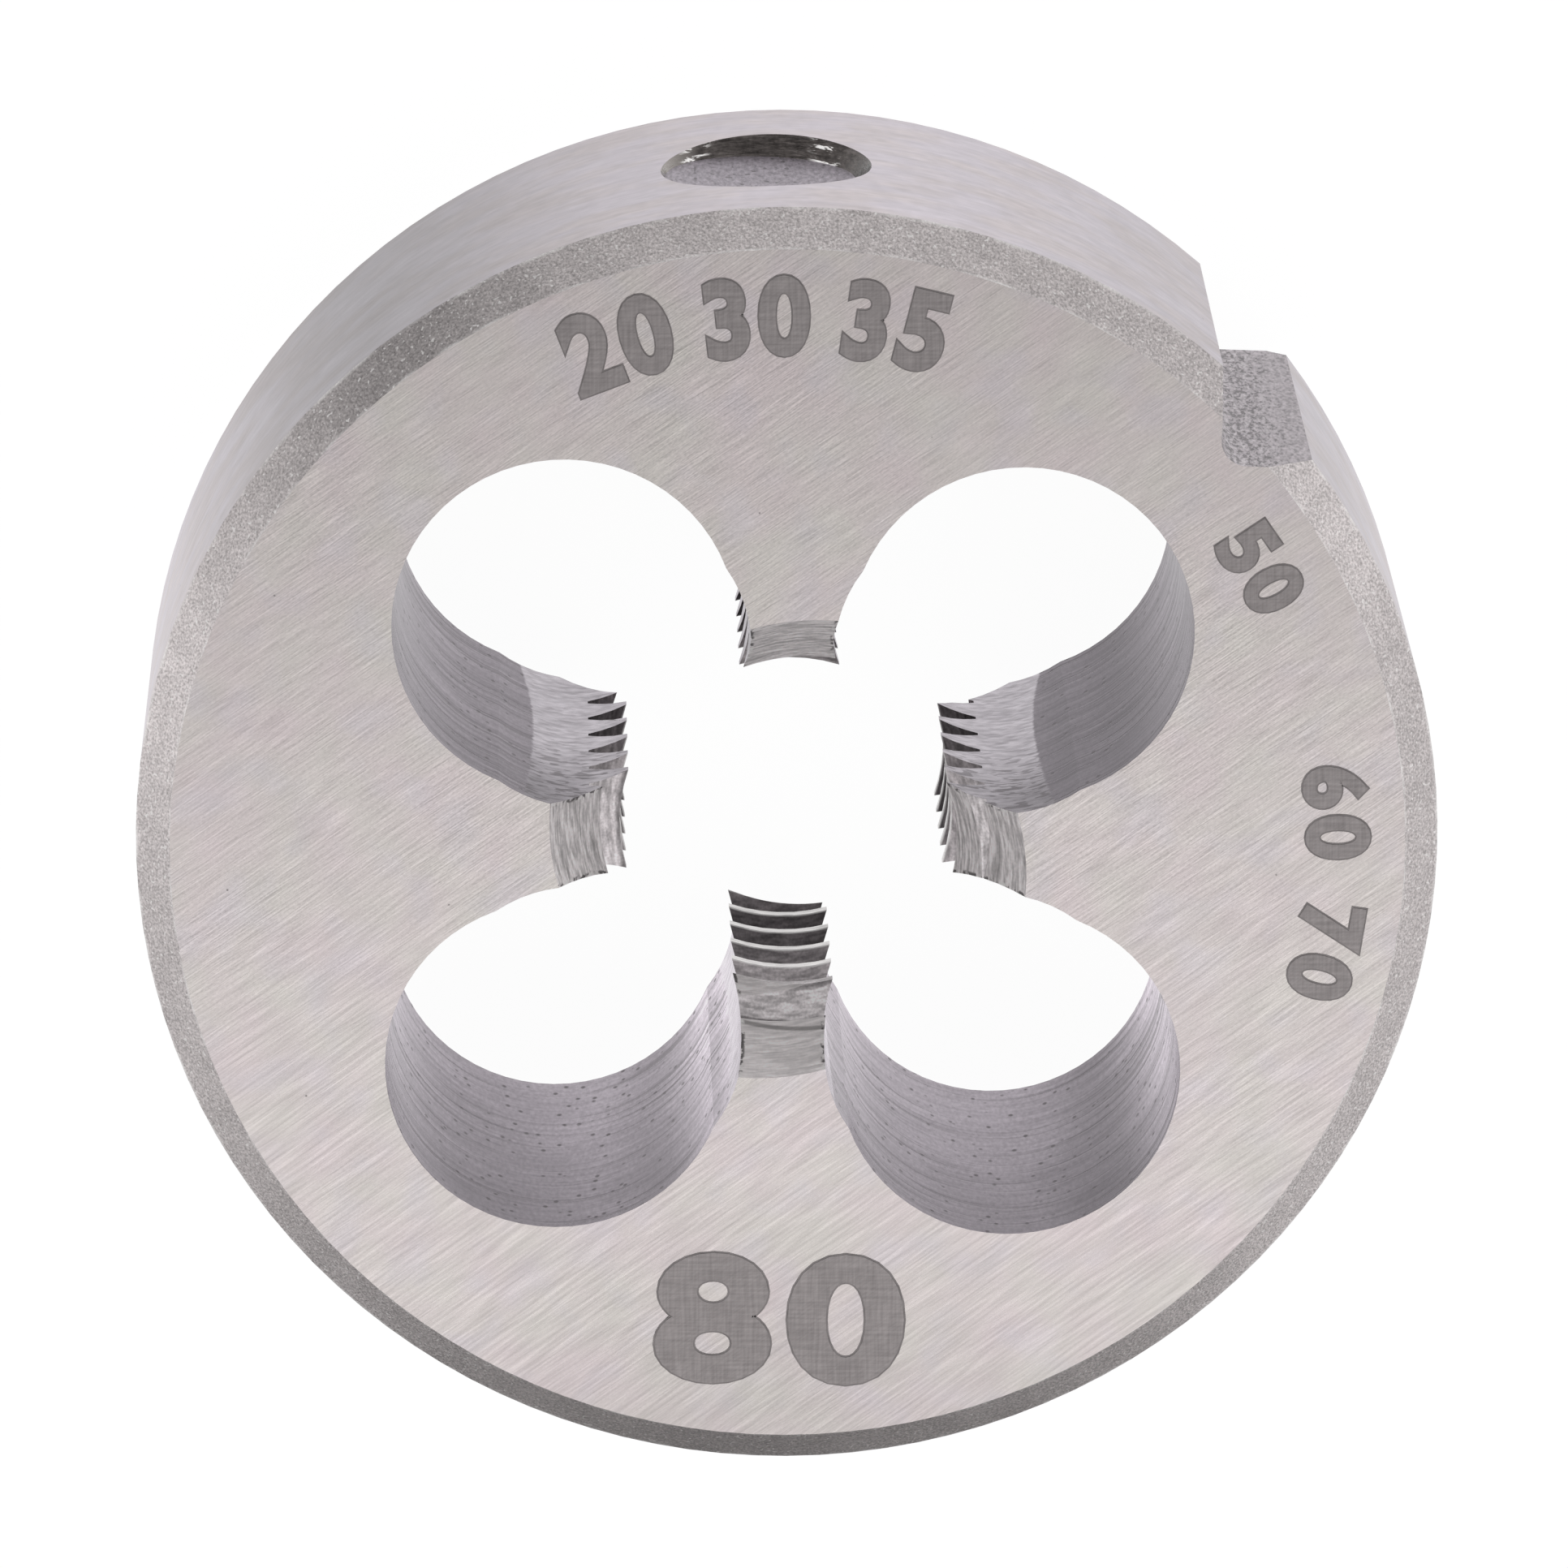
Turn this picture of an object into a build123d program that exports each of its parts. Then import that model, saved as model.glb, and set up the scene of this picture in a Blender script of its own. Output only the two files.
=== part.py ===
"""Round threading die that cuts a coarse right-hand screw thread, turned by hand in a stock.

One piece of hardened steel, in millimetres, Z up. It lies on its back face with the lead
(entry) side up, and the origin is the centre of the back face. Its four cutting lands
point along +X, +Y, -X and -Y, with the chip openings between them.
"""

import os
from math import ceil, radians, sqrt, tan

from build123d import *

# ---- body -----------------------------------------------------------------------------
BODY_DIAMETER = 30.0
BODY_THICKNESS = 11.0
FRONT_CHAMFER = 0.8
BACK_CHAMFER = 0.35

# ---- thread: the crests cut the screw's root, the grooves clear the screw's crest ------
THREAD_MAJOR_DIAMETER = 9.36
THREAD_PITCH = 1.4
THREAD_ANGLE = 60.0
TOOTH_HEIGHT_SHARE = 0.59  # in pitches
GROOVE_FLAT_SHARE = 0.125  # flat at the bottom of a groove, in pitches
FIRST_GROOVE_HEIGHT = 1.48  # middle of the lowest whole groove on +X, over the back face

# ---- chip openings: a drilled hole, and two ground circles that shape the land flanks --
LAND_COUNT = 4
CHIP_HOLE_DIAMETER = 7.9
CHIP_HOLE_CIRCLE_RADIUS = 7.41
FLANK_DIAMETER = 6.4
FLANK_CIRCLE_RADIUS = 6.35
FLANK_SWING = 4.15  # degrees from the middle of the opening, towards the land being ground

# ---- leads: conical entries to the teeth, the same at both faces -----------------------
LEAD_RADIUS = 5.5  # on the face, at the middle of a land
LEAD_LENGTH = 2.2
LEAD_BACK_OFF = 0.65  # sideways shift of the cone, for relief behind the cutting edge

# ---- V notch along the rim, where the die may be split open ----------------------------
NOTCH_AZIMUTH = 44.0
NOTCH_ANGLE = 90.0
NOTCH_HALF_WIDTH = 1.52  # at the rim
NOTCH_ROOT_RADIUS = 0.6

# ---- dimples for the stock's closing screws, one on each side of the notch -------------
DIMPLE_FLOOR_DIAMETER = 4.4
DIMPLE_DEPTH = 0.45
DIMPLE_ANGLE = 90.0
DIMPLE_OFFSET = 0.85  # from the land's centre line, away from the notch

# ---- worked out from the sizes above ---------------------------------------------------
PAST = 1.0  # how far a cutter runs past the surface that it opens
FROM_BACK = (Align.CENTER, Align.CENTER, Align.MIN)
body_radius = BODY_DIAMETER / 2
groove_radius = THREAD_MAJOR_DIAMETER / 2
crest_radius = groove_radius - TOOTH_HEIGHT_SHARE * THREAD_PITCH
land_spacing = 360 / LAND_COUNT

# ---- one thread groove across the land on +X -------------------------------------------
# A trapezoid swept on a right-hand helix, from inside the bore to the thread's major
# diameter. It is level with z = 0 at the middle of the land and runs out past both flanks.
groove_span = land_spacing * 2 / 3
groove_rise = THREAD_PITCH * groove_span / 360
groove_open_radius = crest_radius - THREAD_PITCH / 5
groove_flat_half = GROOVE_FLAT_SHARE * THREAD_PITCH / 2
groove_open_half = groove_flat_half + (groove_radius - groove_open_radius) * tan(
    radians(THREAD_ANGLE / 2)
)
groove_start = (0, 0, -groove_rise / 2)

with BuildPart() as groove_cutter:
    with BuildLine() as groove_path:
        Helix(THREAD_PITCH, groove_rise, groove_open_radius, center=groove_start)
    with BuildSketch(Plane(groove_start, x_dir=(1, 0, 0), z_dir=(0, -1, 0))):
        with BuildLine():
            Polyline(
                (groove_open_radius, -groove_open_half),
                (groove_radius, -groove_flat_half),
                (groove_radius, groove_flat_half),
                (groove_open_radius, groove_open_half),
                close=True,
            )
        make_face()
    sweep(path=groove_path.wire(), is_frenet=True)
land_groove = groove_cutter.part.rotate(Axis.Z, -groove_span / 2)

# The same helix passes each land a part of a pitch higher than the one before it.
groove_turns = range(-2, ceil(BODY_THICKNESS / THREAD_PITCH) + 1)
groove_places = [
    Location(
        (0, 0, FIRST_GROOVE_HEIGHT + THREAD_PITCH * (turn + land / LAND_COUNT)),
        (0, 0, land * land_spacing),
    )
    for land in range(LAND_COUNT)
    for turn in groove_turns
]

# ---- leads of the land on +X ------------------------------------------------------------
# The front one is a sector of a cone. Its axis is shifted along -Y, so that the ground
# surface falls away behind the cutting edge, the land's anticlockwise one from the front.
lead_slope = (LEAD_RADIUS - crest_radius) / LEAD_LENGTH
lead_tip_radius = crest_radius - LEAD_BACK_OFF
lead_tip_z = BODY_THICKNESS - (LEAD_RADIUS - lead_tip_radius) / lead_slope
lead_top_z = BODY_THICKNESS + PAST
lead_axis = Axis((0, -LEAD_BACK_OFF, 0), (0, 0, 1))
lead_plane = Plane(lead_axis.position, x_dir=(1, 0, 0), z_dir=(0, -1, 0))
turned_over = Location((0, 0, BODY_THICKNESS), (180, 0, 0))

with BuildPart() as front_lead_cutter:
    with BuildSketch(lead_plane.rotated((0, 0, -land_spacing / 2))):
        with BuildLine():
            Polyline(
                (0, lead_tip_z),
                (lead_tip_radius, lead_tip_z),
                (LEAD_RADIUS + lead_slope * PAST, lead_top_z),
                (0, lead_top_z),
                close=True,
            )
        make_face()
    revolve(axis=lead_axis, revolution_arc=land_spacing)

# ---- screw dimples ----------------------------------------------------------------------
# A shallow flat-bottomed countersink on the +Y side of the rim, and its mirror image
# across the middle of the chip opening behind the notch.
dimple_length = DIMPLE_DEPTH + PAST
dimple_floor_radius = DIMPLE_FLOOR_DIAMETER / 2
dimple_end_radius = dimple_floor_radius + dimple_length * tan(radians(DIMPLE_ANGLE / 2))
dimple_plane = Plane(
    (-DIMPLE_OFFSET, body_radius - DIMPLE_DEPTH, BODY_THICKNESS / 2),
    x_dir=(1, 0, 0),
    z_dir=(0, 1, 0),
)
opening_middle = Plane.XZ.rotated((0, 0, land_spacing / 2))

with BuildPart() as dimple_cutters:
    with Locations(dimple_plane):
        Cone(dimple_floor_radius, dimple_end_radius, dimple_length, align=FROM_BACK)
    mirror(about=opening_middle)

# ---- the die ----------------------------------------------------------------------------
notch_slope = tan(radians(NOTCH_ANGLE / 2))
notch_chord = sqrt(body_radius**2 - NOTCH_HALF_WIDTH**2)
notch_root = notch_chord - NOTCH_HALF_WIDTH / notch_slope
notch_end = body_radius + PAST
notch_end_half = (notch_end - notch_root) * notch_slope

with BuildPart() as die_body:
    # turned blank with both rim edges chamfered
    Cylinder(body_radius, BODY_THICKNESS, align=FROM_BACK)
    chamfer(die_body.faces().sort_by(Axis.Z)[-1].edges(), FRONT_CHAMFER)
    chamfer(die_body.faces().sort_by(Axis.Z)[0].edges(), BACK_CHAMFER)

    # bore and chip openings, which leave the four lands
    with BuildSketch():
        Circle(crest_radius)
        with PolarLocations(CHIP_HOLE_CIRCLE_RADIUS, LAND_COUNT, land_spacing / 2):
            Circle(CHIP_HOLE_DIAMETER / 2)
        for swing in (-FLANK_SWING, FLANK_SWING):
            with PolarLocations(FLANK_CIRCLE_RADIUS, LAND_COUNT, land_spacing / 2 + swing):
                Circle(FLANK_DIAMETER / 2)
    extrude(amount=BODY_THICKNESS, mode=Mode.SUBTRACT)

    # teeth
    with Locations(*groove_places):
        add(land_groove, mode=Mode.SUBTRACT)

    # leads
    with PolarLocations(0, LAND_COUNT):
        add(front_lead_cutter.part, mode=Mode.SUBTRACT)
        add(turned_over * front_lead_cutter.part, mode=Mode.SUBTRACT)

    # V notch with a rounded root
    with BuildSketch(Plane.XY.rotated((0, 0, NOTCH_AZIMUTH))) as notch:
        with BuildLine():
            Polyline(
                (notch_root, 0),
                (notch_end, notch_end_half),
                (notch_end, -notch_end_half),
                close=True,
            )
        make_face()
        fillet(notch.vertices().sort_by(SortBy.DISTANCE)[0], NOTCH_ROOT_RADIUS)
    extrude(amount=BODY_THICKNESS, mode=Mode.SUBTRACT)

    # screw dimples
    add(dimple_cutters.part, mode=Mode.SUBTRACT)

die_body.part.label = "die_body"

os.makedirs("parts", exist_ok=True)
export_step(die_body.part, "parts/die_body.step")
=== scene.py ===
"""Round threading die: finishes, marks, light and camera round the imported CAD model.

Blender works in metres. The finishes are written in millimetres of the part's own frame:
the bore runs along Z, the marked face is up, and the four lands point along +-X and +-Y.
In the photograph +Y is up and +X is to the right. Azimuths are degrees from +X towards +Y.
"""

from math import cos, hypot, radians, sin

import bpy
from mathutils import Matrix, Vector


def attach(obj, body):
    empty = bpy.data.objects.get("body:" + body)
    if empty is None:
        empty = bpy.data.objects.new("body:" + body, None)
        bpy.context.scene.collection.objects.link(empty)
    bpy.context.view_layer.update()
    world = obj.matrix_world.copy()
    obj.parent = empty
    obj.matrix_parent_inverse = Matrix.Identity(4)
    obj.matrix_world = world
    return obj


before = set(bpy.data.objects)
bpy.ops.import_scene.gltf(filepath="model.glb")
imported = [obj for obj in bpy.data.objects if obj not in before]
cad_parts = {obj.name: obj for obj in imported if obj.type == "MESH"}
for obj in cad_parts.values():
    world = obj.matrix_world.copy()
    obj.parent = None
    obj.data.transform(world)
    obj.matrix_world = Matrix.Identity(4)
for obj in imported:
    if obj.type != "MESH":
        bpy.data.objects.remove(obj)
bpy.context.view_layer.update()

MM = 0.001

# ---- sizes repeated from the part, in mm ------------------------------------------------
BODY_RADIUS = 15.0
THICKNESS = 11.0
CREST_RADIUS = 3.854
GROOVE_RADIUS = 4.68
CHAMFER_INNER_RADIUS = 14.2
FLANK_RADIUS = 3.2
FLANK_CENTRE_RADIUS = 6.35
FLANK_SWING = 4.15  # degrees from the middle of a chip opening to each flank's centre

# ---- camera, which stands off the +Y side and looks down on the marked face -------------
CAMERA_TARGET = (-0.130, 1.589, THICKNESS)
CAMERA_AZIMUTH = 95.354
CAMERA_TILT = 16.159  # degrees from straight down
CAMERA_DISTANCE = 275.285
CAMERA_ROLL = 4.211
CAMERA_CLIP = 10.0  # nearest thing in view, in mm
LENS = 275.46
SENSOR = 36.0


def rgb(red, green, blue):
    return (red, green, blue, 1.0)


# ---- colours ----------------------------------------------------------------------------
PINK_STEEL = rgb(0.690, 0.617, 0.622)
GREEN_STEEL = rgb(0.675, 0.637, 0.610)
LILAC_STEEL = rgb(0.655, 0.612, 0.650)
RIM_LILAC = rgb(0.556, 0.504, 0.556)
RIM_WARM = rgb(0.580, 0.519, 0.536)
DRILLED_STEEL = rgb(0.262, 0.241, 0.262)
FLANK_STEEL = rgb(0.950, 0.910, 0.955)
WALL_GLOSS_TINT = rgb(0.84, 0.81, 0.84)
BLASTED_STEEL = rgb(0.585, 0.545, 0.544)
LEAD_STEEL = rgb(1.000, 0.945, 0.948)
THREAD_STEEL = rgb(0.120, 0.108, 0.112)
NEAR_FACE_STEEL = rgb(0.125, 0.117, 0.119)
DIMPLE_BLACK = rgb(0.085, 0.075, 0.072)
DIMPLE_END_STEEL = rgb(0.36, 0.33, 0.31)
DIMPLE_FLOOR_STEEL = rgb(0.34, 0.305, 0.345)
NOTCH_STEEL = rgb(0.415, 0.376, 0.400)
NOTCH_BRIGHT_STEEL = rgb(0.75, 0.71, 0.73)
ETCHED_STEEL = rgb(0.360, 0.330, 0.330)
# painted highlights: glints, bright edges, crests and the bright bits of burrs
HIGHLIGHT_STEEL = rgb(0.950, 0.930, 0.920)
SOOT = rgb(0.050, 0.045, 0.045)
PAPER_GREY = rgb(0.82, 0.82, 0.82)
CARD_BLACK = rgb(0.03, 0.03, 0.03)
WHITE = rgb(1, 1, 1)


# ---- node graphs ------------------------------------------------------------------------
def polar(azimuth, length=1.0):
    """The flat vector of that length towards that azimuth."""
    return (length * cos(radians(azimuth)), length * sin(radians(azimuth)), 0.0)


class Nodes:
    """A node tree, with a short call for each kind of node."""

    def __init__(self, tree):
        self.tree = tree

    def node(self, kind, **settings):
        node = self.tree.nodes.new("ShaderNode" + kind)
        for setting, value in settings.items():
            setattr(node, setting, value)
        return node

    def feed(self, socket, value):
        """Links value to the socket if it is a socket itself, and else sets it."""
        if isinstance(value, bpy.types.NodeSocket):
            self.tree.links.new(value, socket)
        else:
            socket.default_value = value

    def math(self, operation, *values):
        node = self.node("Math", operation=operation)
        for socket, value in zip(node.inputs, values):
            self.feed(socket, value)
        return node.outputs[0]

    def add(self, total, *others):
        for value in others:
            total = self.math("ADD", total, value)
        return total

    def times(self, product, *others):
        for value in others:
            product = self.math("MULTIPLY", product, value)
        return product

    def vector(self, operation, *values, scale=None):
        node = self.node("VectorMath", operation=operation)
        for socket, value in zip(node.inputs, values):
            self.feed(socket, value)
        if scale is not None:
            self.feed(node.inputs["Scale"], scale)
        return node.outputs["Value" if operation in ("LENGTH", "DOT_PRODUCT") else "Vector"]

    def lobe(self, direction, axis, focus):
        """1 where the direction points along the axis, fading to 0 round it."""
        share = self.math("MAXIMUM", self.vector("DOT_PRODUCT", direction, axis), 0.0)
        return self.math("POWER", share, focus)


class Finish(Nodes):
    """A material, with masks and patterns laid out in mm of the part's frame."""

    def __init__(self, name, metallic=1.0):
        self.material = bpy.data.materials.new(name)
        self.material.use_nodes = True
        super().__init__(self.material.node_tree)
        self.shader = self.tree.nodes["Principled BSDF"]
        self.shader.inputs["Metallic"].default_value = metallic
        coordinates = self.node("TexCoord")
        self.outward = coordinates.outputs["Normal"]
        self.place = self.vector("SCALE", coordinates.outputs["Object"], scale=1 / MM)
        split = self.node("SeparateXYZ")
        self.feed(split.inputs[0], self.place)
        self.x, self.y, self.z = split.outputs
        self.flat = self.vector("MULTIPLY", self.place, (1, 1, 0))
        self.radius = self.vector("LENGTH", self.flat)

    # Masks and factors

    def spread(self, value, low, high, out_low=0.0, out_high=1.0, smooth=False):
        """value from low..high to out_low..out_high, held at both ends."""
        node = self.node("MapRange", interpolation_type="SMOOTHSTEP" if smooth else "LINEAR")
        self.feed(node.inputs["Value"], value)
        node.inputs["From Min"].default_value = low
        node.inputs["From Max"].default_value = high
        node.inputs["To Min"].default_value = out_low
        node.inputs["To Max"].default_value = out_high
        return node.outputs["Result"]

    def gain(self, mask, amount):
        """A factor of 1 where the mask is 0, and 1 + amount where it is 1."""
        return self.add(1.0, self.times(mask, amount))

    def facing(self, azimuth, focus):
        """1 where the surface faces that azimuth, fading to 0 round it."""
        return self.lobe(self.outward, polar(azimuth), focus)

    def around(self, azimuth, focus):
        """1 at that azimuth round the bore, fading to 0 on both sides of it."""
        return self.lobe(self.vector("NORMALIZE", self.flat), polar(azimuth), focus)

    def lamp_gap_shade(self):
        """A factor of painted shade on what faces the gap between the lamps."""
        return self.gain(self.facing(LAMP_GAP_AZIMUTH, LAMP_GAP_FOCUS), -LAMP_GAP_SHADE)

    def halves(self, lower, upper, smooth=False):
        """lower in the two chip openings at -Y and upper in the two at +Y."""
        return self.spread(self.y, -HALVES_MEET, HALVES_MEET, lower, upper, smooth)

    def lower_land(self):
        """1 on the land at -Y, whose teeth and lead face the camera."""
        return self.spread(self.y, *LOWER_LAND)

    def from_flank(self):
        """Distance in mm from the nearest ground flank, for a place on a land."""
        folded = self.vector("ABSOLUTE", self.flat)
        gaps = []
        for azimuth in (45 - FLANK_SWING, 45 + FLANK_SWING):
            centre = polar(azimuth, FLANK_CENTRE_RADIUS)
            gaps.append(self.vector("LENGTH", self.vector("SUBTRACT", folded, centre)))
        return self.math("SUBTRACT", self.math("MINIMUM", *gaps), FLANK_RADIUS)

    # Patterns

    def grain(self, stretch, detail=2.0, turn=0.0, rough=0.5, distortion=0.0):
        """Noise with that many cycles a mm along each axis, turned about Z, from 0 to 1."""
        rotate = self.node("VectorRotate", rotation_type="Z_AXIS")
        rotate.inputs["Angle"].default_value = radians(-turn)
        self.feed(rotate.inputs["Vector"], self.place)
        noise = self.node("TexNoise")
        self.feed(noise.inputs["Vector"], self.stretched(rotate.outputs[0], stretch))
        noise.inputs["Scale"].default_value = 1.0
        noise.inputs["Detail"].default_value = detail
        noise.inputs["Roughness"].default_value = rough
        noise.inputs["Distortion"].default_value = distortion
        return noise.outputs["Fac"]

    def dots(self, stretch, size, share):
        """Round dots, 1 inside, of that radius in cells, in that share of the cells."""
        cells = self.node("TexVoronoi")
        self.feed(cells.inputs["Vector"], self.stretched(self.place, stretch))
        cells.inputs["Scale"].default_value = 1.0
        draw = self.node("SeparateXYZ")
        self.feed(draw.inputs[0], cells.outputs["Color"])
        chosen = self.math("LESS_THAN", draw.outputs[0], share)
        return self.times(self.spread(cells.outputs["Distance"], size, size * 0.5), chosen)

    def stretched(self, place, stretch):
        mapping = self.node("Mapping", vector_type="POINT")
        self.feed(mapping.inputs["Vector"], place)
        mapping.inputs["Scale"].default_value = stretch
        return mapping.outputs[0]

    # Colours and the shader

    def mix(self, share, a, b):
        node = self.node("Mix", data_type="RGBA")
        self.feed(node.inputs["Factor"], share)
        self.feed(node.inputs[6], a)
        self.feed(node.inputs[7], b)
        return node.outputs[2]

    def stain(self, colour, mask, share, paint=SOOT):
        """colour with that share of the paint over it where the mask is 1."""
        return self.mix(self.times(mask, share), colour, paint)

    def lighten(self, colour, factor):
        """colour times a plain number or socket."""
        if isinstance(colour, tuple):
            colour = colour[:3]  # a vector socket takes no alpha
        return self.vector("SCALE", colour, scale=factor)

    def bump(self, height, distance):
        """The normal of a relief of that height, with the distance in mm."""
        node = self.node("Bump")
        self.feed(node.inputs["Height"], height)
        node.inputs["Strength"].default_value = 1.0
        node.inputs["Distance"].default_value = distance * MM
        return node.outputs["Normal"]

    def coat(self, colour, roughness, normal=None):
        """Gives the shader its colour, roughness and relief, and returns the material."""
        self.feed(self.shader.inputs["Base Color"], colour)
        self.feed(self.shader.inputs["Roughness"], roughness)
        if normal is not None:
            self.feed(self.shader.inputs["Normal"], normal)
        return self.material


# ---- finishes ---------------------------------------------------------------------------
LAMP_GAP_AZIMUTH = 131.0  # painted shade on upright surfaces that face this way, between the lamps
LAMP_GAP_FOCUS = 14.0
LAMP_GAP_SHADE = 0.54
HALVES_MEET = 1.5  # mm from the X axis, short of the chip openings on both sides
LOWER_LAND = (-3.0, -4.0)  # y where the looks of the land at -Y begin and are full
LOWER_FLANKS = (-2.0, -3.5)  # the same for its flanks

# Each patch below holds an azimuth, a focus and a gain: how the photo's lamps make the
# steel lighter or darker there.

SCRATCH_TURN = 36.0  # the grinding scratches on the flat faces run this way
CUT_CONTRAST = 0.14  # of the few long scratches
LOWER_FACE = (-2.0, -7.0)  # y where the scratches begin to fade and have faded
LOWER_FACE_SCRATCHES = 0.50  # what is left of them there
FACE_SHADE_AZIMUTH = 268  # the middle of the darker strip along the face's lower edge
FACE_SHADE_FOCUS = 12
FACE_SHADE_DEPTH = 0.12


def ground_face(name):
    """Surface-ground steel: short fine scratches one way, a few long ones, faint mottling."""
    g = Finish(name)
    fine = g.grain((1.2, 34.0, 1.0), detail=0.0, turn=SCRATCH_TURN)
    short = g.grain((12.0, 24.0, 1.0), detail=1.0, turn=SCRATCH_TURN - 2, rough=0.6)
    broad = g.grain((0.6, 12.0, 1.0), detail=1.0, turn=SCRATCH_TURN + 2)
    light_cut = g.grain((0.7, 28.0, 1.0), detail=0.0, turn=SCRATCH_TURN + 2)
    dark_cut = g.grain((0.6, 25.0, 1.0), detail=0.0, turn=SCRATCH_TURN - 4)
    scratches = g.add(
        g.spread(fine, 0.25, 0.75, -0.15, 0.15),
        g.spread(short, 0.25, 0.75, -0.13, 0.13),
        g.spread(broad, 0.3, 0.7, -0.02, 0.02),
        g.times(g.spread(light_cut, 0.66, 0.74), CUT_CONTRAST),
        g.times(g.spread(dark_cut, 0.33, 0.25), -CUT_CONTRAST),
    )
    # The scratches are fainter in patches, and over the lower half of the face.
    kept = g.times(
        g.spread(g.grain((0.12, 0.12, 1.0), detail=1.0), 0.40, 0.62, 0.6, 1.0),
        g.spread(g.y, *LOWER_FACE, 1.0, LOWER_FACE_SCRATCHES),
    )
    lower_edge = g.times(
        g.around(FACE_SHADE_AZIMUTH, FACE_SHADE_FOCUS),
        g.spread(g.radius, 8.0, 13.0, 0.0, FACE_SHADE_DEPTH),
    )
    shade = g.math("SUBTRACT", g.add(g.times(scratches, kept), 1.0), lower_edge)

    mottle = g.grain((0.5, 0.5, 1.0), detail=2.0)
    tint = g.grain((0.8, 0.8, 1.0), detail=1.0, turn=40)
    colour = g.mix(g.spread(mottle, 0.32, 0.68), PINK_STEEL, GREEN_STEEL)
    colour = g.mix(g.spread(tint, 0.5, 0.7, 0.0, 0.45), colour, LILAC_STEEL)
    pits = g.dots((1.0, 1.0, 0.1), 0.035, 0.25)
    colour = g.stain(g.lighten(colour, shade), pits, 0.6)
    return g.coat(colour, g.spread(broad, 0.3, 0.7, 0.36, 0.46), g.bump(fine, 0.0010))


CHAMFER_PAINTED_LIGHT = (
    (33, 70, 0.20),
    (92, 30, 0.10),
    (128, 40, -0.33),
    (166, 30, 0.24),
    (266, 30, -0.10),
    (318, 30, 0.16),
)


def blasted_chamfer(name):
    """Grit-blasted chamfer: dense speckle, patches of painted light and shade, painted glints,
    broken painted highlights along the edges.
    """
    g = Finish(name)
    grit = g.grain((17.0, 17.0, 17.0), detail=1.0, rough=0.6)
    glint = g.grain((12.0, 12.0, 12.0), detail=0.0, turn=25)
    mottle = g.grain((1.2, 1.2, 1.2), detail=2.0)
    # patches of painted light and shade round the chamfer
    patches = [g.times(g.around(azimuth, focus), gain) for azimuth, focus, gain in CHAMFER_PAINTED_LIGHT]
    shade = g.times(
        g.spread(grit, 0.25, 0.75, 0.66, 1.34),
        g.add(1.0, *patches),
        g.spread(mottle, 0.3, 0.7, 0.94, 1.06),
    )
    colour = g.lighten(BLASTED_STEEL, shade)
    # painted glints
    colour = g.mix(g.spread(glint, 0.70, 0.78, 0.0, 0.65), colour, HIGHLIGHT_STEEL)
    # broken painted highlights along both edges
    edge = g.math(
        "MAXIMUM",
        g.spread(g.radius, BODY_RADIUS - 0.07, BODY_RADIUS - 0.02),
        g.spread(g.radius, CHAMFER_INNER_RADIUS + 0.05, CHAMFER_INNER_RADIUS + 0.01),
    )
    colour = g.stain(colour, edge, g.spread(mottle, 0.40, 0.65, 0.0, 0.60), HIGHLIGHT_STEEL)
    return g.coat(colour, 0.5, g.bump(grit, 0.012))


RIM_PAINTED_LIGHT = ((34, 80, -0.13), (55, 30, -0.12), (170, 40, 0.12))


def ground_rim(name):
    """Cylindrically ground rim: fine marks round the die, faint cloudy patches, rare pits."""
    g = Finish(name)
    line = g.grain((0.9, 0.9, 4.0), detail=2.0, rough=0.7)
    cloud = g.grain((0.4, 0.4, 0.8), detail=3.0)
    fleck = g.grain((3.0, 3.0, 2.5), detail=1.0)
    shade = g.times(
        g.spread(line, 0.3, 0.7, 0.90, 1.10),
        g.spread(fleck, 0.3, 0.7, 0.96, 1.04),
        # painted shade on the side between the lamps, and patches of painted light and shade by
        # the way the rim faces
        g.lamp_gap_shade(),
        *(g.gain(g.facing(azimuth, focus), gain) for azimuth, focus, gain in RIM_PAINTED_LIGHT),
    )
    colour = g.mix(g.spread(cloud, 0.4, 0.6), RIM_LILAC, RIM_WARM)
    pits = g.dots((1.2, 1.2, 0.7), 0.05, 0.3)
    colour = g.stain(g.lighten(colour, shade), pits, 0.5)
    return g.coat(colour, g.spread(cloud, 0.3, 0.7, 0.30, 0.38), g.bump(line, 0.0015))


FLANK_EDGE = 5.87  # mm along the land where its ground flank ends, at FLANK_EDGE_HEIGHT
FLANK_EDGE_HEIGHT = 5.0
FLANK_EDGE_BULGE = 0.013  # how fast that line runs outwards above and below, in 1/mm


def drilled_share(g, along):
    """1 on the drilled wall of a chip opening, and 0 on the ground flanks of the lands."""
    off_middle = g.math("SUBTRACT", g.z, FLANK_EDGE_HEIGHT)
    bulge = g.times(
        off_middle, off_middle, FLANK_EDGE_BULGE, g.spread(g.z, 4.0, 6.0, 1.0, 0.5)
    )
    ragged = g.spread(g.grain((1.0, 1.0, 6.0), detail=2.0), 0.0, 1.0, -0.06, 0.06)
    border = g.add(bulge, FLANK_EDGE, ragged)
    return g.spread(g.math("SUBTRACT", along, border), -0.03, 0.04, smooth=True)


WALL_PAINTED_LIGHT = ((42, 10, -0.12), (222, 10, -0.26), (255, 60, 0.90))  # patches of painted light and shade round the bore
WALL_SIDES = (20, 160)  # azimuths that the walls face where the ring marks show most
WALL_SIDE_FOCUS = 3.0
WALL_END_FOCUS = 8.0  # of the painted light on the ends of the lower walls, which face +X and -X
WALL_END_LIGHT = 1.65
RIGHT_FACING_SHARE = 0.85  # of that gain on the ends that face +X
PIT_SIZE = 0.22
PIT_DARKNESS = 0.95


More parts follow.
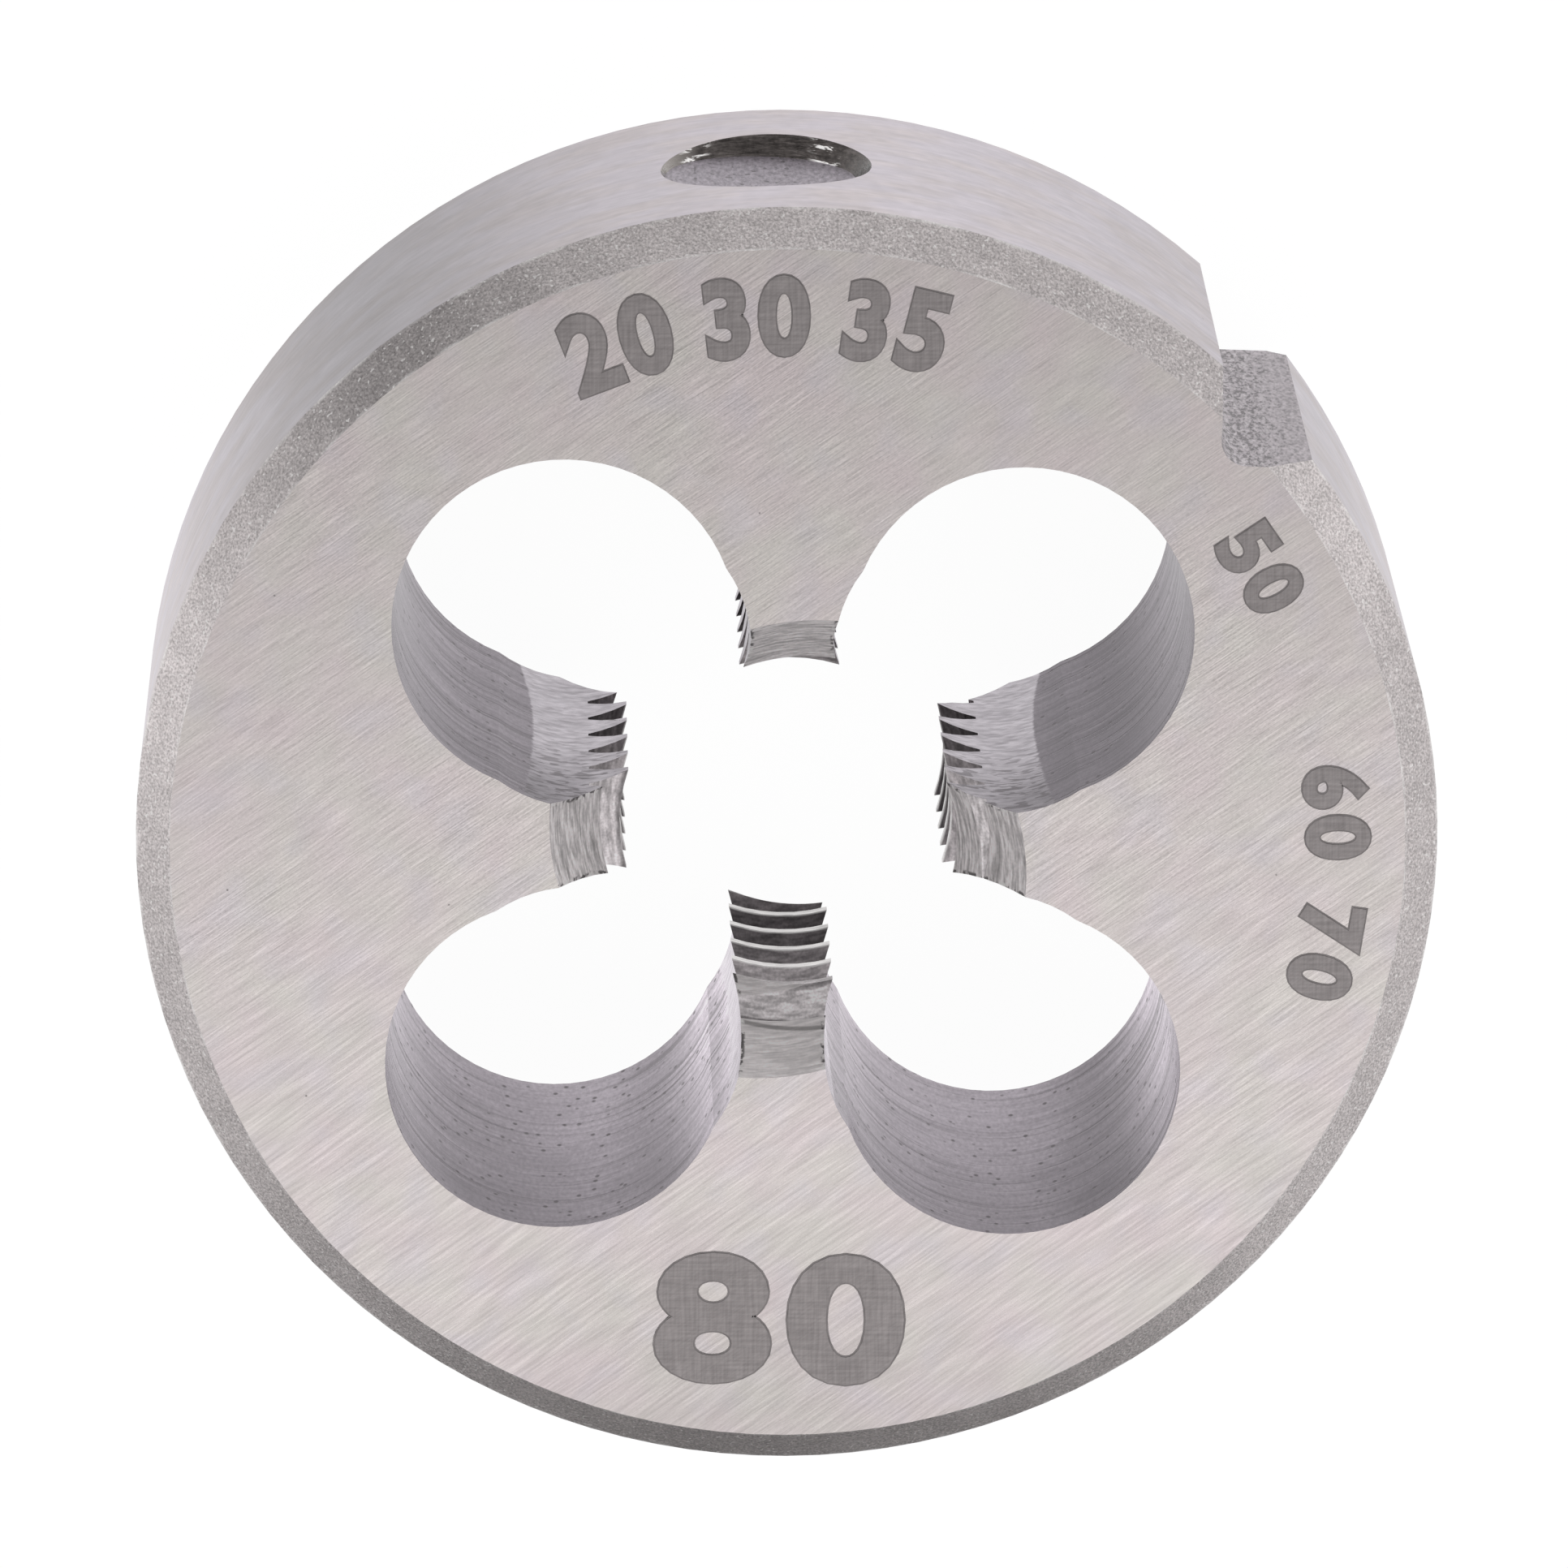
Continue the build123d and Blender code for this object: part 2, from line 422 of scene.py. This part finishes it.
def drilled_wall(g):
    """Colour and relief of the drilled walls: ring marks, grooves, pits and fine grit, with
    painted light and shade.
    """
    ring = g.grain((0.35, 0.35, 4.0), detail=1.0, rough=0.7)
    groove = g.spread(g.grain((0.18, 0.18, 4.5), detail=0.0, turn=15), 0.36, 0.28)
    pits = g.dots((3.0, 3.0, 1.8), PIT_SIZE, 0.85)
    grit = g.grain((11.0, 11.0, 4.5), detail=1.0)
    cloud = g.grain((0.6, 0.6, 0.6), detail=2.0)
    sides = g.math("MAXIMUM", *(g.facing(azimuth, WALL_SIDE_FOCUS) for azimuth in WALL_SIDES))
    scored = g.times(
        g.spread(ring, 0.28, 0.72, -0.34, 0.34),
        g.spread(sides, 0.1, 0.8, 0.35, 1.0),
        g.halves(1.0, 1.5),
    )
    # painted shade towards the front face and painted light towards the back
    wall_front_shade = g.times(g.spread(g.z, 1.5, 9.5, -1.0, 1.0), g.halves(0.26, 0.10))
    # painted light on the ends of the lower walls
    ends = g.math(
        "MAXIMUM",
        g.times(g.facing(0, WALL_END_FOCUS), RIGHT_FACING_SHARE),
        g.facing(180, WALL_END_FOCUS),
    )
    shade = g.times(
        g.add(scored, 1.0),
        g.spread(grit, 0.28, 0.72, 0.84, 1.16),
        g.spread(cloud, 0.3, 0.7, 0.92, 1.08),
        g.lamp_gap_shade(),
        # painted shade in the two upper openings
        g.halves(1.0, 0.65, smooth=True),
        g.math("SUBTRACT", 1.08, wall_front_shade),
        *(g.gain(g.around(azimuth, focus), gain) for azimuth, focus, gain in WALL_PAINTED_LIGHT),
        g.gain(ends, g.halves(WALL_END_LIGHT, 0.0)),
    )
    colour = g.lighten(DRILLED_STEEL, shade)
    colour = g.stain(colour, groove, g.spread(sides, 0.1, 0.8, 0.15, 0.65))
    colour = g.stain(colour, pits, PIT_DARKNESS)
    return colour, g.add(ring, g.times(groove, -0.8), g.times(pits, -0.8))


LOWER_FLANK_SHARE = 0.7  # of the scoring and the painted shade to the front that the flanks of the land at -Y lack
OTHER_FLANKS_LEVEL = 0.53  # painted light on the flanks of the land at -Y: how light the other lands' flanks are next to those


def ground_flank(g, along):
    """Colour and relief of the land flanks: fine strokes, scored and with painted shade to the
    front; the flanks of the land at -Y have painted light.
    """
    stroke = g.grain((2.4, 2.4, 5.5), detail=1.0, rough=0.7)
    score = g.spread(g.grain((2.6, 2.6, 6.0), detail=1.0, rough=0.7), 0.47, 0.40)
    lower_land_flank = g.spread(g.y, *LOWER_FLANKS)
    kept = g.gain(lower_land_flank, -LOWER_FLANK_SHARE)
    scored = g.times(g.spread(g.z, 4.5, 9.5, 0.22, 0.80, smooth=True), kept)
    # painted shade towards the front face and along the land
    flank_front_shade = g.times(
        g.spread(g.z, 5.5, 10.5, smooth=True), kept, g.spread(along, 4.3, 5.9, 0.34, 0.62)
    )
    shade = g.times(
        g.spread(stroke, 0.3, 0.7, 0.74, 1.20),
        g.spread(lower_land_flank, 0.0, 1.0, OTHER_FLANKS_LEVEL, 1.0),
        g.math("SUBTRACT", 1.0, flank_front_shade),
    )
    return g.stain(g.lighten(FLANK_STEEL, shade), score, scored), stroke


def chip_wall(name):
    """Chip openings: drilled walls, and the lighter ground flanks of the lands."""
    g = Finish(name)
    along = g.math("MAXIMUM", g.math("ABSOLUTE", g.x), g.math("ABSOLUTE", g.y))
    drilled = drilled_share(g, along)
    wall, wall_relief = drilled_wall(g)
    flank, flank_relief = ground_flank(g, along)
    relief = g.add(
        g.times(drilled, wall_relief), g.times(g.math("SUBTRACT", 1.0, drilled), flank_relief)
    )
    g.shader.inputs["Specular Tint"].default_value = WALL_GLOSS_TINT
    roughness = g.spread(drilled, 0.0, 1.0, 0.25, 0.24)
    return g.coat(g.mix(drilled, flank, wall), roughness, g.bump(relief, 0.006))


LEAD_STEP_RADIUS = 4.62  # where the last groove runs out of the lead
LEAD_STEP_DARKNESS = 0.6


def darken_step(g, colour):
    """A dark line round the lead of the land at -Y, where the last groove ends."""
    off_step = g.math("ABSOLUTE", g.math("SUBTRACT", g.radius, LEAD_STEP_RADIUS))
    line = g.times(g.spread(off_step, 0.05, 0.02), g.lower_land())
    return g.stain(colour, line, LEAD_STEP_DARKNESS)


def add_burrs(g, colour):
    """Small torn bits along the edges of a land: dark ones, and bright ones that are painted
    highlights.
    """
    edge = g.spread(g.from_flank(), 0.10, 0.05)
    torn = g.grain((5.0, 5.0, 5.0), detail=2.0)
    colour = g.stain(colour, edge, g.spread(torn, 0.52, 0.58, 0.0, 0.85))
    # painted highlights on the bright bits
    return g.stain(colour, edge, g.spread(torn, 0.44, 0.38, 0.0, 0.9), HIGHLIGHT_STEEL)


# The leads are mostly diffuse, because a mirror there would show the dark opposite land.
LEAD_METALLIC = 0.25
LOWER_LEAD_LIGHT = 0.45


def ground_lead(name):
    """Ground lead cones: coarse broken lines round the bore, bright and dark."""
    g = Finish(name, metallic=LEAD_METALLIC)
    line = g.grain((2.0, 2.0, 16.0), detail=1.0, rough=0.7)
    long_line = g.grain((0.7, 0.7, 11.0), detail=1.0)
    speck = g.grain((12.0, 12.0, 12.0), detail=1.0)
    shade = g.times(
        g.spread(line, 0.35, 0.65, 0.66, 1.14),
        g.spread(long_line, 0.30, 0.50, 0.66, 1.0),
        g.spread(speck, 0.3, 0.7, 0.88, 1.06),
    )
    colour = g.lighten(LEAD_STEEL, shade)
    # painted light: the lead of the land at -Y is lighter
    colour = g.stain(colour, g.lower_land(), LOWER_LEAD_LIGHT, LEAD_STEEL)
    colour = add_burrs(g, darken_step(g, colour))
    return g.coat(colour, 0.45, g.bump(line, 0.006))


LIT_THREAD_GAIN = 5.6  # light reaches the grooves near both faces
CREST_END = (8.2, 8.6)  # mm up the bore, where the last crest gives way to the lead


def cut_thread(name):
    """Thread grooves with painted shade deep in the bore and painted light near the faces, and
    painted highlights on the crests.
    """
    g = Finish(name)
    line = g.grain((2.0, 2.0, 15.0), detail=1.0, rough=0.7)
    grit = g.grain((16.0, 16.0, 14.0), detail=1.0)
    # painted light on the grooves near both faces, painted shade deep in the bore
    toward_front = g.math("POWER", g.spread(g.z, 4.3, 9.3), 1.8)
    toward_back = g.spread(g.z, 2.6, 0.6, 0.0, 0.6)
    in_lead = g.spread(g.z, *CREST_END)
    last_crest = g.times(g.spread(g.radius, 4.00, 3.90), in_lead)
    shade = g.times(
        g.gain(g.math("MAXIMUM", toward_front, toward_back), LIT_THREAD_GAIN),
        g.spread(line, 0.35, 0.65, 0.68, 1.28),
        g.spread(grit, 0.3, 0.7, 0.84, 1.16),
        # painted shade that dims the last crest where it runs into the lead
        g.gain(last_crest, -0.5),
        # painted shade deeper in the grooves
        g.spread(g.radius, 4.0, GROOVE_RADIUS, 1.15, 0.80),
    )
    colour = g.lighten(g.mix(toward_front, THREAD_STEEL, NEAR_FACE_STEEL), shade)
    # painted highlights on the crests
    crest = g.times(
        g.spread(g.radius, CREST_RADIUS + 0.035, CREST_RADIUS + 0.01),
        g.math("SUBTRACT", 1.0, in_lead),
    )
    shine = g.spread(line, 0.25, 0.6, 0.45, 0.80)
    colour = g.stain(darken_step(g, colour), crest, shine, HIGHLIGHT_STEEL)
    return g.coat(colour, 0.4, g.bump(line, 0.004))


DIMPLE_OFFSET = 0.85  # mm from a dimple's middle to the X or Y axis
GLINT_OFFSET = 1.5  # mm from a dimple's middle to the two painted glints on its wall


def dimple_wall(name):
    """Dark, shiny cone of a screw dimple, torn by the drill, with two painted glints."""
    g = Finish(name)
    tear = g.grain((1.4, 10.0, 2.0), detail=3.0, rough=0.7, distortion=0.3)
    streak = g.grain((7.0, 7.0, 2.0), detail=2.0, rough=0.7)
    shade = g.times(g.spread(tear, 0.3, 0.7, 0.45, 1.6), g.spread(streak, 0.3, 0.7, 0.7, 1.3))
    sideways = g.add(g.math("MINIMUM", g.x, g.y), DIMPLE_OFFSET)
    from_glint = g.math("ABSOLUTE", g.math("SUBTRACT", g.math("ABSOLUTE", sideways), GLINT_OFFSET))
    # two painted glints on the wall
    glint_spot = g.times(
        g.spread(from_glint, 0.40, 0.15), g.spread(g.z, 5.0, 4.6), g.spread(tear, 0.54, 0.59)
    )
    left_end = g.spread(sideways, -1.4, -2.2, 0.0, 0.85)
    colour = g.mix(left_end, g.lighten(DIMPLE_BLACK, shade), DIMPLE_END_STEEL)
    colour = g.mix(glint_spot, colour, HIGHLIGHT_STEEL)
    return g.coat(colour, g.spread(tear, 0.3, 0.7, 0.15, 0.4), g.bump(tear, 0.03))


def dimple_floor(name):
    """Rough flat floor of a screw dimple."""
    g = Finish(name)
    grit = g.grain((9.0, 9.0, 3.5), detail=2.0, rough=0.7)
    pit = g.spread(g.grain((7.0, 7.0, 3.0), detail=0.0), 0.70, 0.76)
    colour = g.lighten(DIMPLE_FLOOR_STEEL, g.spread(grit, 0.3, 0.7, 0.60, 1.40))
    return g.coat(g.stain(colour, pit, 0.6), 0.42, g.bump(grit, 0.01))


NOTCH_ROUGH_RADIUS = 14.35  # the marks end about here, between the root and the rim
NOTCH_FADE = 0.2  # mm on both sides of that
NOTCH_RIM_ROUGHNESS = 0.30  # what is left of the marks at the rim


def sawn_notch(name):
    """Notch flanks with short rough marks by the root, smooth towards the rim."""
    g = Finish(name)
    mark = g.grain((9.0, 9.0, 3.0), detail=2.0, rough=0.8, distortion=0.3)
    tick = g.grain((10.0, 10.0, 4.5), detail=1.0, rough=0.7)
    edge = g.add(g.radius, g.spread(tick, 0.3, 0.7, -0.25, 0.25))
    all_rough, all_smooth = NOTCH_ROUGH_RADIUS - NOTCH_FADE, NOTCH_ROUGH_RADIUS + NOTCH_FADE
    rough = g.spread(edge, all_smooth, all_rough, NOTCH_RIM_ROUGHNESS, 1.0)
    hollow = g.math("MAXIMUM", g.spread(mark, 0.50, 0.40), g.spread(tick, 0.44, 0.34))
    high = g.spread(mark, 0.56, 0.66, 0.0, 0.5)
    colour = g.lighten(NOTCH_STEEL, g.spread(tick, 0.3, 0.7, 0.72, 1.28))
    colour = g.stain(colour, g.times(hollow, 0.62), rough)
    colour = g.stain(colour, high, rough, NOTCH_BRIGHT_STEEL)
    return g.coat(colour, 0.42, g.bump(g.times(mark, rough), 0.02))


def etched_fill(name):
    """Etched numerals: dull grey crossed by fine lines."""
    g = Finish(name)
    across = g.grain((1.0, 14.0, 1.0), detail=2.0, turn=1)
    down = g.grain((14.0, 1.0, 1.0), detail=2.0, turn=1)
    scratch = g.grain((1.5, 22.0, 1.0), detail=1.0, turn=SCRATCH_TURN)
    shade = g.times(
        g.spread(across, 0.3, 0.7, 0.88, 1.10),
        g.spread(down, 0.3, 0.7, 0.88, 1.10),
        g.spread(scratch, 0.3, 0.7, 0.95, 1.05),
    )
    return g.coat(g.lighten(ETCHED_STEEL, shade), 0.5, g.bump(across, 0.002))


def etched_edge(name):
    """The slightly darker line round each etched numeral."""
    g = Finish(name)
    worn = g.grain((3.0, 3.0, 1.0), detail=2.0)
    return g.coat(g.lighten(ETCHED_STEEL, g.spread(worn, 0.3, 0.7, 0.62, 0.86)), 0.5)


FINISHES = {
    "face": ground_face,
    "chamfer": blasted_chamfer,
    "rim": ground_rim,
    "wall": chip_wall,
    "lead": ground_lead,
    "thread": cut_thread,
    "dimple_wall": dimple_wall,
    "dimple_floor": dimple_floor,
    "notch": sawn_notch,
}

# Limits that tell the die's surfaces apart, in mm and as shares of the normal along Z or
# away from the axis.
FLAT = 0.99
UPRIGHT = 0.05
EXACTLY_UPRIGHT = 0.01
GROOVE_SIDE = 0.8  # along Z: more on the sides of a groove, and less on the leads
CHAMFER_OUTWARD = 0.5
THREAD_OUTWARD = -0.9
RIM_SLACK = 0.01
GROOVE_SLACK = 0.05
RIM_CUTS_RADIUS = 13.3  # the chamfers, notch and dimples lie outside, the openings inside
NOTCH_CORNER = 5.0  # x and y are both more than this in the notch, and not in the dimples
CHAMFER_HEIGHT = 1.0  # mm from the nearer face


def finish_of(centre, normal):
    """Which finish a facet of the die wears, from its centre in mm and its normal."""
    radius = hypot(centre.x, centre.y)
    outward = (normal.x * centre.x + normal.y * centre.y) / radius
    along_z = abs(normal.z)
    if along_z > FLAT:
        return "face"
    if radius > BODY_RADIUS - RIM_SLACK and along_z < UPRIGHT:
        return "rim"
    if radius > RIM_CUTS_RADIUS:
        if along_z < EXACTLY_UPRIGHT:
            return "notch" if min(centre.x, centre.y) > NOTCH_CORNER else "dimple_floor"
        at_chamfer = min(centre.z, THICKNESS - centre.z) < CHAMFER_HEIGHT
        return "chamfer" if at_chamfer and outward > CHAMFER_OUTWARD else "dimple_wall"
    if along_z < UPRIGHT:
        in_bore = radius < GROOVE_RADIUS + GROOVE_SLACK and outward < THREAD_OUTWARD
        return "thread" if in_bore else "wall"
    return "thread" if along_z > GROOVE_SIDE else "lead"


def dress_die(die):
    """Gives every facet of the CAD node its finish."""
    mesh = die.data
    mesh.materials.clear()
    order = list(FINISHES)
    for name, make in FINISHES.items():
        mesh.materials.append(make("steel_" + name))
    for facet in mesh.polygons:
        facet.material_index = order.index(finish_of(facet.center / MM, facet.normal))


# ---- etched numerals --------------------------------------------------------------------
DIGIT_BOLDNESS = 0.035  # how far the strokes are swollen, for a font size of 1
DIGIT_SMOOTHNESS = 6
EDGE_WIDTH = 0.035  # darker line round each digit, in mm
EDGE_LIFT = 0.010  # mm over the face
FILL_LIFT = 0.020
# text, radius of its middle, azimuth of its middle, height, advance and space, width share
ARC_NUMERALS = (
    ("20 30 35", 12.65, 94.7, 1.90, 1.32, 0.55, 0.92),
    ("50", 12.70, 33.0, 1.40, 1.15, 0.60, 1.05),
    ("60 70", 12.65, -2.5, 1.50, 1.22, 0.95, 1.05),
)
# text, x and y of its middle, turn, height, advance, width share
FLAT_NUMERALS = (("80", 0.05, -11.35, 1.0, 3.20, 3.10, 1.28),)


def digit_mesh(digit, boldness):
    """A flat mesh of the digit, for a font size of 1."""
    curve = bpy.data.curves.new("digit", "FONT")
    curve.body = digit
    curve.offset = boldness
    curve.resolution_u = DIGIT_SMOOTHNESS
    text = bpy.data.objects.new("digit", curve)
    mesh = bpy.data.meshes.new_from_object(text)
    bpy.data.objects.remove(text)
    bpy.data.curves.remove(curve)
    return mesh


def digit_outline(digit, height, width_share, swell):
    """Points and faces of one bold digit, centred on the origin, in mm."""
    mesh = digit_mesh(digit, DIGIT_BOLDNESS)
    xs = [v.co.x for v in mesh.vertices]
    ys = [v.co.y for v in mesh.vertices]
    scale = height / (max(ys) - min(ys))
    middle_x, middle_y = (max(xs) + min(xs)) / 2, (max(ys) + min(ys)) / 2
    if swell:
        mesh = digit_mesh(digit, DIGIT_BOLDNESS + swell / scale)
    points = [
        ((v.co.x - middle_x) * scale * width_share, (v.co.y - middle_y) * scale)
        for v in mesh.vertices
    ]
    return points, [list(face.vertices) for face in mesh.polygons]


def digit_places():
    """Yields each digit with the x, y and turn of its middle, its height and width share."""
    for text, radius, azimuth, height, advance, space, share in ARC_NUMERALS:
        steps = [space if c == " " else advance for c in text]
        along = -sum(steps) / 2
        for c, step in zip(text, steps):
            if c != " ":
                turn = radians(azimuth) - (along + step / 2) / radius
                x, y = radius * cos(turn), radius * sin(turn)
                yield c, x, y, turn - radians(90), height, share
            along += step
    for text, x, y, turn, height, advance, share in FLAT_NUMERALS:
        first = x - (len(text) - 1) * advance / 2
        for i, c in enumerate(text):
            yield c, first + i * advance, y, radians(turn), height, share


def add_numerals():
    """Thin layers on the marked face: a darker edge and, just over it, the etched grey."""
    for name, swell, lift, material in (
        ("numeral_edges", EDGE_WIDTH, EDGE_LIFT, etched_edge("steel_etched_edge")),
        ("numerals", 0.0, FILL_LIFT, etched_fill("steel_etched")),
    ):
        vertices, faces = [], []
        for digit, x, y, turn, height, share in digit_places():
            points, polygons = digit_outline(digit, height, share, swell)
            start = len(vertices)
            vertices += [
                (
                    (x + u * cos(turn) - v * sin(turn)) * MM,
                    (y + u * sin(turn) + v * cos(turn)) * MM,
                    (THICKNESS + lift) * MM,
                )
                for u, v in points
            ]
            faces += [[start + i for i in polygon] for polygon in polygons]
        mesh = bpy.data.meshes.new(name)
        mesh.from_pydata(vertices, [], faces)
        mesh.materials.append(material)
        piece = bpy.data.objects.new(name, mesh)
        bpy.context.collection.objects.link(piece)
        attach(piece, "root")


# ---- studio -----------------------------------------------------------------------------
def make_camera():
    tilt, azimuth = radians(CAMERA_TILT), radians(CAMERA_AZIMUTH)
    away = Vector((sin(tilt) * cos(azimuth), sin(tilt) * sin(azimuth), cos(tilt)))
    side = -away.cross(Vector((cos(azimuth), sin(azimuth), 0))).normalized()
    up = away.cross(side)
    basis = Matrix((side, up, away)).transposed()
    camera = bpy.data.objects.new("camera", bpy.data.cameras.new("camera"))
    camera.data.lens = LENS
    camera.data.sensor_width = SENSOR
    camera.data.clip_start = CAMERA_CLIP * MM
    camera.matrix_world = (
        Matrix.Translation((Vector(CAMERA_TARGET) + away * CAMERA_DISTANCE) * MM)
        @ basis.to_4x4()
        @ Matrix.Rotation(radians(-CAMERA_ROLL), 4, "Z")
    )
    bpy.context.collection.objects.link(camera)
    bpy.context.scene.camera = camera


PAPER_ROUGHNESS = 0.9
FLOOR_SPAN = 4000.0
FLOOR_DROP = 0.02  # mm under the back face
FLOOR_SHADOW_SHARE = 0.12
FLOOR_WHITE = 1.09
DARK_CARD = (-45, 45, -95, -28)  # x and y spans
DARK_CARD_LIFT = 0.3  # mm over the back face's level


def add_sheet(name, left, right, near, far, level):
    """A flat rectangle that faces up, with its spans in x and y and its level in mm."""
    mesh = bpy.data.meshes.new(name)
    corners = ((left, near), (right, near), (right, far), (left, far))
    mesh.from_pydata([(x * MM, y * MM, 0) for x, y in corners], [], [(0, 1, 2, 3)])
    sheet = bpy.data.objects.new(name, mesh)
    sheet.location.z = level * MM
    bpy.context.collection.objects.link(sheet)
    return sheet


def make_floor():
    """A pale floor. Camera, glossy and transmission rays see it nearly white, so that the
    die keeps a soft shadow and its walls reflect the white that the photograph shows."""
    half = FLOOR_SPAN / 2
    floor = add_sheet("floor", -half, half, -half, half, -FLOOR_DROP)
    g = Finish("floor_paper", metallic=0.0)
    floor.data.materials.append(g.coat(PAPER_GREY, PAPER_ROUGHNESS))
    paths = g.node("LightPath")
    seen = g.math("MAXIMUM", paths.outputs["Is Camera Ray"], paths.outputs["Is Glossy Ray"])
    seen = g.math("MAXIMUM", seen, paths.outputs["Is Transmission Ray"])
    white = g.node("Emission")
    white.inputs["Color"].default_value = WHITE
    white.inputs["Strength"].default_value = FLOOR_WHITE
    blend = g.node("MixShader")
    g.feed(blend.inputs["Fac"], g.times(seen, 1 - FLOOR_SHADOW_SHARE))
    g.feed(blend.inputs[1], g.shader.outputs[0])
    g.feed(blend.inputs[2], white.outputs[0])
    g.feed(g.tree.nodes["Material Output"].inputs["Surface"], blend.outputs[0])


def add_dark_card():
    """A dark card in front of the die, which only its own reflections show, so that the lower
    chamfer mirrors dark.
    """
    card = add_sheet("dark_card", *DARK_CARD, DARK_CARD_LIFT)
    card.visible_camera = False
    card.visible_diffuse = False
    card.visible_shadow = False
    g = Finish("dark_paper", metallic=0.0)
    mottle = g.spread(g.grain((1.0, 1.0, 1.0)), 0.3, 0.7, 0.9, 1.1)
    card.data.materials.append(g.coat(g.lighten(CARD_BLACK, mottle), PAPER_ROUGHNESS))


# Light from each side of the studio, as a share of white.
WORLD_FRONT = 0.15  # everywhere, and all there is towards -Y
WORLD_BACK = 0.50  # added towards +Y
WORLD_SIDES = 0.80  # added towards +-X
WORLD_TOP = 0.22  # added overhead
WORLD_FOCUS = 2.0  # of each of those
WORLD_GAP = 0.45  # taken away between the lamps on the left and at the back
WORLD_GAP_TOWARDS = (-0.70, 0.68, 0.22)
WORLD_GAP_FOCUS = 8.0
HORIZON_BAND = 0.03  # white up to this height, as a share of the direction


def make_world():
    """Studio walls: pale at both sides and the back, darker overhead and in front."""
    world = bpy.data.worlds.new("studio")
    world.use_nodes = True
    n = Nodes(world.node_tree)
    direction = n.node("TexCoord").outputs["Generated"]
    level = n.add(
        WORLD_FRONT,
        n.times(n.lobe(direction, (1, 0, 0), WORLD_FOCUS), WORLD_SIDES),
        n.times(n.lobe(direction, (-1, 0, 0), WORLD_FOCUS), WORLD_SIDES),
        n.times(n.lobe(direction, (0, 1, 0), WORLD_FOCUS), WORLD_BACK),
        n.times(n.lobe(direction, (0, 0, 1), WORLD_FOCUS), WORLD_TOP),
    )
    gap = n.lobe(direction, Vector(WORLD_GAP_TOWARDS).normalized(), WORLD_GAP_FOCUS)
    level = n.math("SUBTRACT", level, n.times(gap, WORLD_GAP))
    horizon = n.math("LESS_THAN", n.lobe(direction, (0, 0, 1), 1.0), HORIZON_BAND)
    background = n.tree.nodes["Background"]
    n.feed(background.inputs["Strength"], n.math("MAXIMUM", level, horizon))
    background.inputs["Color"].default_value = WHITE
    bpy.context.scene.world = world


LAMP_PLACE = (3, -41, 106)
LAMP_TARGET = (0, -8, 11)
LAMP_SIZE = (140, 30)
LAMP_POWER = 0.0188


def add_lamp():
    """A soft, wide lamp over the front of the die."""
    light = bpy.data.lights.new("lamp_front", "AREA")
    light.shape = "RECTANGLE"
    light.size, light.size_y = (size * MM for size in LAMP_SIZE)
    light.energy = LAMP_POWER
    lamp = bpy.data.objects.new("lamp_front", light)
    lamp.location = Vector(LAMP_PLACE) * MM
    aim = (Vector(LAMP_TARGET) - Vector(LAMP_PLACE)).to_track_quat("-Z", "Y")
    lamp.rotation_euler = aim.to_euler()
    bpy.context.collection.objects.link(lamp)


dress_die(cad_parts["die_body"])
add_numerals()
make_camera()
make_floor()
add_dark_card()
make_world()
add_lamp()
bpy.context.scene.view_settings.view_transform = "Standard"
